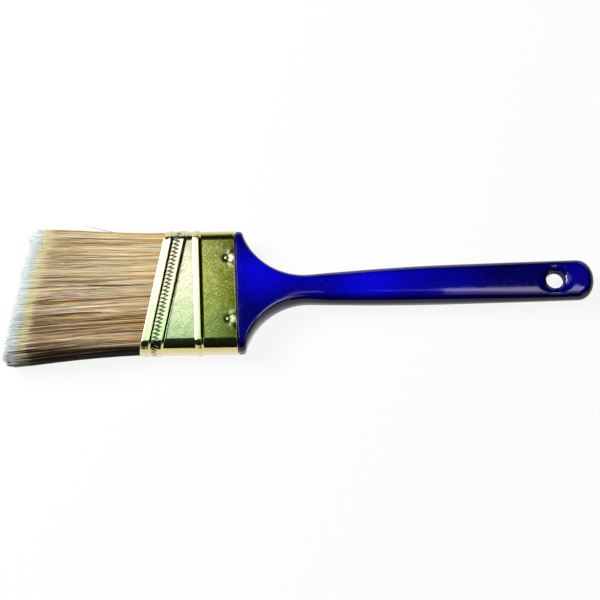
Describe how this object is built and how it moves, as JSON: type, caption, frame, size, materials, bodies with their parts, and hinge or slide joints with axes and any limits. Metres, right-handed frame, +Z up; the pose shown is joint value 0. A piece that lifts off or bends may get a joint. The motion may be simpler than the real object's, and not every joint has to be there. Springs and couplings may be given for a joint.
{
  "type": "paint brush",
  "caption": "Angled sash paint brush with tapered filaments in a beaded, slant-mouthed metal ferrule and a long glossy handle with a hanging hole, for cutting in paint along edges.",
  "frame": {"origin": "centre of the bounding box's underside, with the brush lying on its back", "axes": "+X along the brush towards the handle's tail, +Y towards the heel (the short side of the slanted mouth), +Z up out of the front face"},
  "size_m": [0.305, 0.0702, 0.0181],
  "materials": {
    "handle_plastic": "glossy moulded plastic, deep blue",
    "ferrule_metal": "polished thin sheet, brass coloured",
    "nail_metal": "polished, brass coloured",
    "setting_resin": "cured amber resin",
    "plug_wood": "plain sawn wood",
    "filament": "fine tapered synthetic filaments, tan with pale tips"
  },
  "bodies": {
    "root": {"handle": "handle_plastic", "ferrule": "ferrule_metal", "nail_front_heel": "nail_metal", "nail_front_toe": "nail_metal", "nail_back_heel": "nail_metal", "nail_back_toe": "nail_metal", "resin_setting": "setting_resin", "spacer_plug": "plug_wood", "bristles_front": "filament", "bristles_back": "filament", "bristles_heel": "filament", "bristles_toe": "filament"}
  },
  "joints": []
}
